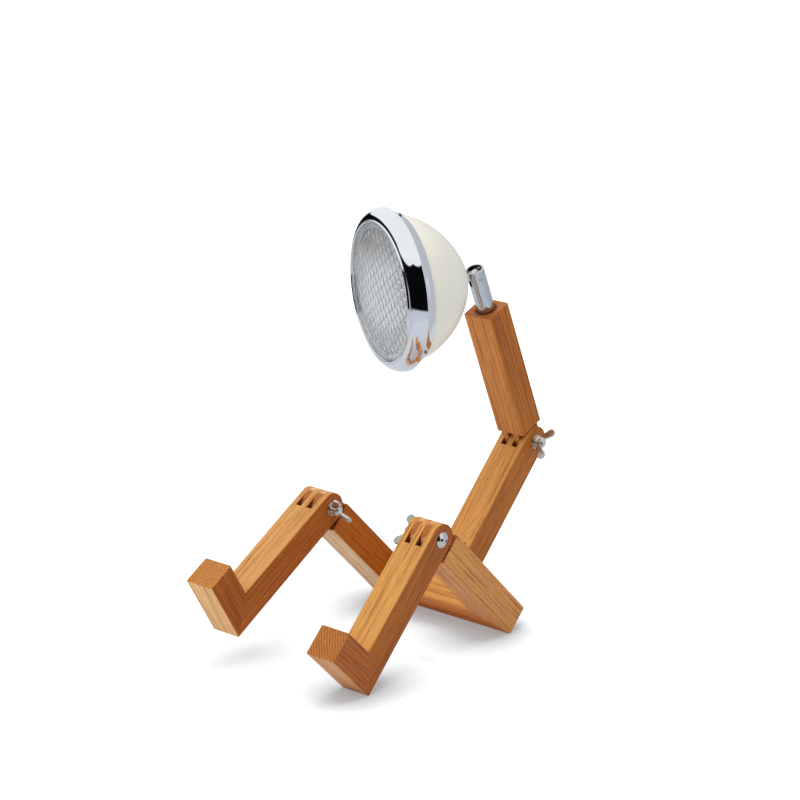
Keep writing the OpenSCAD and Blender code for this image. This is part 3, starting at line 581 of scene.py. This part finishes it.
def bolt_outline():
    """Half the section of a bolt: domed head with a rolled rim, plain shank and a chamfered end."""
    rim = BOLT_HEAD_H / 4
    rise = BOLT_HEAD_H - rim
    dome = (BOLT_HEAD_R ** 2 + rise ** 2) / (2 * rise)
    spread = math.asin(BOLT_HEAD_R / dome)
    angles = [spread * i / 14 for i in range(14)]
    crown = [(dome * math.sin(angle), dome - BOLT_HEAD_H - dome * math.cos(angle)) for angle in angles]
    tip = BAR_W + WASHER_T + NUT_HUB_H + BOLT_TIP
    thread = [(BOLT_R - (0.24 if i % 2 else 0), tip - 4.2 + 0.4 * i) for i in range(9)]
    return (crown + [(BOLT_HEAD_R - 0.16, -rim - 0.05), (BOLT_HEAD_R, -rim + 0.12), (BOLT_HEAD_R, -0.14),
                     (BOLT_HEAD_R - 0.14, 0), (BOLT_R, 0)] + thread + [(BOLT_R - 0.5, tip), (0, tip)])


def bored(made, cutters):
    """Cuts holes with round cutters, which are not kept."""
    for cutter in cutters:
        cut = made.modifiers.new("bore", "BOOLEAN")
        cut.operation, cut.solver, cut.object = "DIFFERENCE", "EXACT", cutter
        cut.material_mode = "TRANSFER" if cutter.data.materials else "INDEX"
    bpy.context.view_layer.update()
    cut_mesh = bpy.data.meshes.new_from_object(made.evaluated_get(bpy.context.evaluated_depsgraph_get()))
    made.modifiers.clear()
    made.data = cut_mesh
    for cutter in cutters:
        bpy.data.objects.remove(cutter)


def round_cutter(home, r, low, high, look=None):
    """A cylinder for cutting a round hole, from one height to another; the hole's wall takes its finish."""
    bm = turned([(0, low), (r, low), (r, high), (0, high)], 40, closed=False)
    bm.transform(MM @ home)
    mesh = bpy.data.meshes.new("cutter")
    bm.to_mesh(mesh)
    bm.free()
    if look:
        mesh.materials.append(look)
    made = bpy.data.objects.new("cutter", mesh)
    bpy.context.scene.collection.objects.link(made)
    return made


def bolt(joint, centre, towards, body):
    """A bolt with the two blind holes of a pin spanner in its head."""
    home = on_bolt(centre, towards)
    made = piece(joint + "_bolt_steel", turned(bolt_outline(), 72, closed=False), home, bolt_steel, body,
                 joint + "_bolt")
    # The hole walls take the dark steel: painted shade inside the spanner holes
    holes = [
        round_cutter(home @ turn(90 + towards * SPANNER_ANGLE, "Z") @ at(end * SPANNER_PITCH / 2, 0, 0),
                     SPANNER_HOLE_R, -BOLT_HEAD_H - 1, -BOLT_HEAD_H + SPANNER_DEPTH, dark_steel_and_painted_hole_shade)
        for end in (-1, 1)]
    bored(made, holes)


def washer(joint, centre, towards, body):
    """A thin washer with rounded outer edges."""
    inner, outer, t = BOLT_R + WASHER_CLEAR, WASHER_R, WASHER_T
    outline = arc(outer - 0.25, 0.25, 0.25, -90, 0, 3) + arc(outer - 0.25, t - 0.25, 0.25, 0, 90, 3) + [
        (inner + 0.1, t), (inner, t - 0.1), (inner, 0.1), (inner + 0.1, 0)]
    piece(joint + "_washer_steel", turned(outline, 72), on_bolt(centre, towards) @ at(0, 0, BAR_W), bolt_steel, body,
          joint + "_washer")


def wing(bm, side):
    """One wing of a nut: a web that rises to a round thumb pad, thick at the root and thinner at the tip."""
    end_x, end_z = WING_SPAN / 2 - WING_END_R, WING_H - WING_END_R
    outline = [(1.2, 1.2), (4.2, 1.5)] + arc(end_x, end_z, WING_END_R, -50, 140, 14) + [(3.6, 6.2), (1.2, 6.0)]
    base = [bm.verts.new((side * x, -WING_T / 2, z)) for x, z in outline]
    face = bm.faces.new(base)
    grown = bmesh.ops.extrude_face_region(bm, geom=[face])
    moved = [v for v in grown["geom"] if isinstance(v, bmesh.types.BMVert)]
    bmesh.ops.translate(bm, verts=moved, vec=(0, WING_T, 0))
    for vert in base + moved:
        vert.co.y *= 1.12 - 0.22 * min(1, abs(vert.co.x) / (WING_SPAN / 2))


def wing_nut(joint, centre, towards, body, look=nut_steel):
    """A cast wing nut: hub and wings are run together and softened, as they leave the mould."""
    home = on_bolt(centre, towards) @ at(0, 0, BAR_W + WASHER_T) @ turn(90 + towards * WING_ANGLES[joint], "Z")
    bore = BOLT_R + TURN_CLEAR
    hub = [(bore, 0.02), (NUT_FOOT_R - 0.1, 0.02), (NUT_FOOT_R, 0.5), (NUT_FOOT_R - 0.2, 1.4), (NUT_TOP_R + 0.35, 3.2),
           (NUT_TOP_R, NUT_HUB_H - 0.5), (NUT_TOP_R - 0.4, NUT_HUB_H), (bore, NUT_HUB_H)]
    bm = turned(hub, 48)
    for side in (-1, 1):
        wing(bm, side)
    bmesh.ops.recalc_face_normals(bm, faces=bm.faces)
    made = piece(joint + "_wing_nut_cast", bm, home, look, body, joint + "_wing_nut", 180)
    run = made.modifiers.new("run_together", "REMESH")
    run.mode, run.voxel_size, run.use_smooth_shade = "VOXEL", CAST_VOXEL / 1000, True
    soft = made.modifiers.new("softened", "SMOOTH")
    soft.factor, soft.iterations = 0.5, 5


for joint, centre, towards, bolt_body, nut_body in (
        ("left_knee", left_knee, -1, "left_lower_leg", "left_knee_nut"),
        ("right_knee", right_knee, 1, "right_lower_leg", "right_knee_nut"),
        ("hip", hip, 1, "torso", "hip_nut"),
        ("waist", waist, 1, "torso", "waist_nut")):
    bolt(joint, centre, towards, bolt_body)
    washer(joint, centre, towards, bolt_body)
    # The left knee's nut takes the darker copy, painted shade
    wing_nut(joint, centre, towards, nut_body, painted_shade_nut_steel if joint == "left_knee" else nut_steel)


# Neck

def plain(node, home, look, body, ease, segments=2):
    """A CAD node's own shape with its edges eased."""
    eased(piece(node + "_eased", from_solid(node, home), home, look, body, node), ease, segments)


plain("neck_tube", in_neck, tube_chrome, "neck", 0.22)
plain("neck_grub_screw", in_upper, dark_steel_and_painted_hole_shade, "upper", 0.15)
plain("tilt_pin", in_head, plain_steel, "neck", 0.2)
plain("tilt_lug", in_head, tube_chrome, "lamp_head", 0.35, 3)


# Lamp head

def bezel_outline():
    """Section of the rim: rolled lip, groove, wide convex band, crease and sloping flange with a rolled edge."""
    start = WINDOW_R + 2 * LIP_ROLL + 0.2
    lip = arc(WINDOW_R + LIP_ROLL, LIP_ROLL, LIP_ROLL, 180, 360, 16)
    groove = [(start - 0.16, LIP_ROLL + 0.3), (start - 0.08, LIP_ROLL + 0.42), (start - 0.02, LIP_ROLL + 0.38)]

    def band(r, z, t, steps):
        return [(r + (BEZEL_R - r - t) * math.sin(math.pi / 2 * i / steps),
                 BAND_LEN - (BAND_LEN - z) * math.cos(math.pi / 2 * i / steps)) for i in range(steps + 1)]
    flange = [(BEZEL_R - 0.08, BAND_LEN + 0.2), (BEZEL_R - CREASE, BAND_LEN + CREASE),
              (BOWL_R + RIM_ROLL, BEZEL_LEN - BEZEL_T), (BOWL_R + 1.3, BEZEL_LEN - 0.4),
              (BOWL_R + 1.0, BEZEL_LEN - 0.06), (BOWL_R + 0.7, BEZEL_LEN), (BOWL_R + RIM_CLEAR, BEZEL_LEN),
              (BOWL_R + RIM_CLEAR, BEZEL_LEN - BEZEL_T), (BEZEL_R - CREASE - BEZEL_T, BAND_LEN + CREASE)]
    inside = band(GROOVE_R, BAND_START + BEZEL_T, BEZEL_T, 18)[::-1] + [
        (GROOVE_R - LIP_GROOVE_W, LENS_FRONT), (WINDOW_R, LENS_FRONT)]
    return lip + groove + band(start, LIP_ROLL + 0.3, 0, 36) + flange + inside


piece("bezel_chrome", turned(bezel_outline(), 224), at_stations, chrome, "lamp_head", "bezel_ring", 38)


def bowl_outline():
    """Section of the bowl: a rounded shell with a flat at the back for the lug."""
    def line(r, depth, end, steps=44):
        return [bowl_point(end / depth * math.sin(math.pi / 2 * i / steps), r, depth) for i in range(steps + 1)]
    pad = BOWL_SEAT - PAD_T
    outer = line(BOWL_R, BOWL_DEPTH, BOWL_DEPTH * SEAT_SHARE)
    inner = line(BOWL_R - BOWL_WALL, BOWL_DEPTH - BOWL_WALL, pad - BEZEL_LEN)
    return [(BOWL_R, BOWL_EDGE)] + outer + [(0, BOWL_SEAT), (0, pad)] + inner[::-1] + [(BOWL_R - BOWL_WALL, BOWL_EDGE)]


bowl = piece("bowl_enamel", turned(bowl_outline(), 160), at_stations, cream, "lamp_head",
             "lamp_bowl", 34)
bored(bowl, [
    round_cutter(on_bowl(SWITCH_ANGLE, SWITCH_SHARE), SWITCH_HOLE_R, -12, 12),
    round_cutter(on_bowl(INLET_ANGLE, INLET_SHARE), INLET_HOLE_R, -12, 12),
    round_cutter(in_head, STUD_HOLE_R, LUG_REACH - 3, LUG_REACH + 3)])


def pressed_lens():
    """A domed lens whose inner face is pressed into diamond prisms inside a plain rim."""
    bm = bmesh.new()
    cells = 152
    step = 2 * LENS_EDGE_R / cells
    bmesh.ops.create_grid(bm, x_segments=cells, y_segments=cells, size=LENS_EDGE_R)
    bmesh.ops.delete(bm, geom=[v for v in bm.verts if v.co.xy.length > LENS_EDGE_R - step * 0.4], context="VERTS")
    edge = {v for e in bm.edges if e.is_boundary for v in e.verts}
    for vert in edge:
        vert.co.xy = vert.co.xy.normalized() * LENS_EDGE_R
    for vert in bm.verts:
        u, v = (abs((c / PRISM_PITCH) % 1 - 0.5) * 2 for c in vert.co.xy)
        fade = max(0.0, min(1.0, (PRISM_R - vert.co.xy.length) / 1.2))
        dip = PRISM_RISE * fade * max(u, v) ** 1.25
        vert.co.z = LENS_FRONT + LENS_T - dip
    front = bmesh.ops.duplicate(bm, geom=bm.verts[:] + bm.edges[:] + bm.faces[:])["geom"]
    for vert in (g for g in front if isinstance(g, bmesh.types.BMVert)):
        r = min(1.0, vert.co.xy.length / (WINDOW_R - 0.05))
        vert.co.z = LENS_FRONT - LENS_CROWN * (1 - r * r)
    bmesh.ops.reverse_faces(bm, faces=[g for g in front if isinstance(g, bmesh.types.BMFace)])
    bmesh.ops.bridge_loops(bm, edges=[e for e in bm.edges if e.is_boundary])
    bmesh.ops.recalc_face_normals(bm, faces=bm.faces)
    bm.transform(turn(45, "Z"))
    return bm


piece("lens_pressed", pressed_lens(), at_stations, lens_glass, "lamp_head", "lens", 60)


def reflector_outline():
    """Section of the mirror: a flange behind the lens and a deep parabola down to the throat."""
    front = LENS_FRONT + LENS_T + GASKET_T

    def line(t, steps=36):
        return [(THROAT_R + t + (WINDOW_R - MIRROR_INSET - THROAT_R) * (1 - i / steps),
                 front + (REFLECTOR_BACK - front) * (1 - (1 - i / steps) ** 2)) for i in range(steps + 1)]
    return line(0) + line(REFLECTOR_T)[::-1] + [(BOWL_R - RIM_CLEAR, front + REFLECTOR_T), (BOWL_R - RIM_CLEAR, front)]


piece("reflector_mirror", turned(reflector_outline(), 160), at_stations, mirror, "lamp_head",
      "reflector", 34)


def grommet_outline():
    """Section of the soft grommet: rounded lips inside and outside the bowl."""
    neck = INLET_R + GROMMET_WALL
    lip = neck + GROMMET_LIP
    inside = -BOWL_WALL - GROMMET_ROOM
    low, high = inside - GROMMET_LIP_T, GROMMET_LIP_T - GROMMET_SEAT
    return ([(INLET_R, low + 0.4)] + arc(INLET_R + 0.4, low + 0.4, 0.4, 180, 270, 4)
            + arc(lip - 0.6, low + 0.6, 0.6, -90, 0, 5)
            + [(lip, inside - 0.1), (lip - 0.1, inside), (neck, inside), (neck, -GROMMET_SEAT),
               (lip - 0.1, -GROMMET_SEAT), (lip, -GROMMET_SEAT + 0.1)]
            + arc(lip - 1, high - 1, 1, 0, 90, 6) + arc(INLET_R + 0.5, high - 0.5, 0.5, 90, 180, 4))


piece("grommet_rubber", turned(grommet_outline(), 64), on_bowl(INLET_ANGLE, INLET_SHARE), rubber, "lamp_head",
      "cable_grommet")
plain("switch_body", on_bowl(SWITCH_ANGLE, SWITCH_SHARE), black_plastic, "lamp_head", 0.35, 3)


def button_outline():
    """Section of the push button, with a shallow dish for a fingertip."""
    low, top, r = COLLAR_H - BUTTON_STEM, COLLAR_H + BUTTON_SHOW, BUTTON_R
    dish = [(r * 0.8 * i / 8, top - 0.35 * (1 - (i / 8) ** 2)) for i in range(9)]
    return dish + arc(r - 0.5, top - 0.5, 0.5, 80, 0, 5) + [(r, low), (0, low)]


piece("button_cap", turned(button_outline(), 64, closed=False), on_bowl(SWITCH_ANGLE, SWITCH_SHARE), black_plastic,
      "switch_key", "switch_button")
plain("bezel_screws", in_head, plain_steel, "lamp_head", 0.12)

# Inner pieces keep their CAD shape and take their finish
for node, look in {
        "hip_corner_dowels": dowel_wood, "left_foot_dowel": dowel_wood, "right_foot_dowel": dowel_wood,
        "lug_washer": plain_steel, "lug_nut": plain_steel, "lens_gasket": silicone, "led_board": board_white,
        "led_chips": light_phosphor, "heat_sink": sink_metal, "module_screws": plain_steel,
        "driver_board": board_green, "driver_spacers": white_plastic, "driver_screws": plain_steel,
        "driver_parts": black_plastic, "terminal_block": terminal_green, "led_leads": lead_red,
        "switch_nut": plain_steel}.items():
    solid = frame["nodes"][node]
    solid.data.materials.clear()
    solid.data.materials.append(look)


# Studio: pale floor, a wide soft light overhead, and a white surround with dark boards for the chrome to show

def studio_floor():
    """White paper: seen directly it is white but for the soft shadow where something stands close."""
    bm = bmesh.new()
    bmesh.ops.create_grid(bm, x_segments=1, y_segments=1, size=12)
    mesh = bpy.data.meshes.new("studio_floor")
    bm.to_mesh(mesh)
    bm.free()
    floor = bpy.data.objects.new("studio_floor", mesh)
    bpy.context.scene.collection.objects.link(floor)
    look = bpy.data.materials.new("white_paper")
    look.use_nodes = True
    f = Finish(look.node_tree)
    seen, mirrored = (f.node("LightPath", {}, {}, "Is %s Ray" % kind) for kind in ("Camera", "Glossy"))
    place = f.node("NewGeometry", {}, {}, "Position")
    far = f.node("VectorMath", {"operation": "LENGTH"}, {0: place}, 1).between(0.38, 0.5)
    shelter = f.node("AmbientOcclusion", {"samples": 12}, {"Distance": 0.06}, 1)
    paper = f.node("BsdfDiffuse", {}, {"Color": f.blend(mirrored, tone(230, 233, 236), tone(204, 209, 213))})
    sheet = f.node("BsdfDiffuse", {}, {"Color": tone(146, 151, 157)})
    lift = f.node("Emission", {}, {"Color": (1, 1, 1, 1), "Strength": (shelter * 1.7 - 0.7).or_more(0.28)})
    sheet = f.node("AddShader", {}, {0: sheet, 1: lift})
    gap = f.node("BsdfTransparent", {}, {"Color": (1, 1, 1, 1)})
    sheet = f.node("MixShader", {}, {0: seen, 1: paper, 2: sheet})
    f.node("OutputMaterial", {}, {"Surface": f.node("MixShader", {}, {0: mirrored * far, 1: sheet, 2: gap})})
    mesh.materials.append(look)


def lamp(name, energy, angle, direction):
    """A wide soft light that lies in a direction and doesn't show in the chrome."""
    data = bpy.data.lights.new(name, "SUN")
    data.energy, data.angle = energy, math.radians(angle)
    made = bpy.data.objects.new(name, data)
    bpy.context.scene.collection.objects.link(made)
    made.rotation_euler = Vector(direction).to_track_quat("Z", "Y").to_euler()
    made.visible_glossy = False
    made.visible_transmission = False


def surround():
    """White walls, with the dark boards, grey wall and glow that the chrome shows, placed by bearing and height."""
    world = bpy.data.worlds.new("white_studio")
    bpy.context.scene.world = world
    world.use_nodes = True
    f = Finish(world.node_tree)
    towards = f.node("TexCoord", {}, {}, "Generated")
    x, y, z = (f.node("SeparateXYZ", {}, {0: towards}, i) for i in range(3))
    bearing = f.node("Math", {"operation": "ARCTAN2"}, {0: y, 1: x}) * (180 / math.pi)
    height = f.node("Math", {"operation": "ARCSINE"}, {0: z}) * (180 / math.pi)

    def board(middle, half_wide, low, high, soft=1.5):
        """A board that fills a range of bearings and heights, in degrees."""
        off = bearing.maths("WRAP", bearing - middle, 180.0, -180.0).size()
        return (1 - off.between(half_wide - soft, half_wide + soft)) * height.between(low - soft, low + soft) * (
            1 - height.between(high - soft, high + soft))
    black = board(-70, 80, -19, 41 - (-60 - bearing).or_more(0.0) * 0.45).or_more(board(-179, 30, -13, 8))
    back_wall = board(84, 44, -60, 36, 7)
    glow = board(74, 6, -9, 3, 2)
    tint = f.blend(height.between(-12, 6), tone(206, 211, 219), (1, 1, 1, 1))
    tint = f.blend(back_wall * (1 - glow * 0.55), tint, tone(197, 200, 206))
    tint = f.blend(black, tint, tone(10, 10, 12))
    camera, diffuse, through = (f.node("LightPath", {}, {}, "Is %s Ray" % kind)
                                for kind in ("Camera", "Diffuse", "Transmission"))
    white = f.node("Background", {}, {"Color": (1, 1, 1, 1), "Strength": 1.0})
    studio = f.node("Background", {}, {"Color": tint, "Strength": 1.0})
    glassed = f.blend(height.between(-30, 60), tone(240, 241, 243), tone(255, 255, 255))
    inside = f.node("Background", {}, {"Color": glassed, "Strength": 1.0})
    shaded = f.blend(height.between(-5, 70), tone(168, 168, 170), tone(250, 250, 252))
    soft = f.node("Background", {}, {"Color": shaded, "Strength": 1.0})
    lit = f.node("MixShader", {}, {0: through, 1: studio, 2: inside})
    lit = f.node("MixShader", {}, {0: diffuse, 1: lit, 2: soft})
    f.node("OutputWorld", {}, {"Surface": f.node("MixShader", {}, {0: camera, 1: lit, 2: white})})


studio_floor()
surround()
lamp("overhead", 1.25, 70, (-0.25, -0.3, 0.92))

camera = bpy.data.objects.new("camera", bpy.data.cameras.new("camera"))
bpy.context.scene.collection.objects.link(camera)
camera.matrix_world = (
    at(*CAMERA_AT) @ turn(CAMERA_BEARING, "Z") @ turn(90 - CAMERA_DROP, "X") @ turn(CAMERA_ROLL, "Z"))
camera.data.lens, camera.data.sensor_width = CAMERA_LENS, SENSOR_W
camera.data.clip_end = 60
bpy.context.scene.camera = camera
bpy.context.scene.view_settings.view_transform = "Standard"
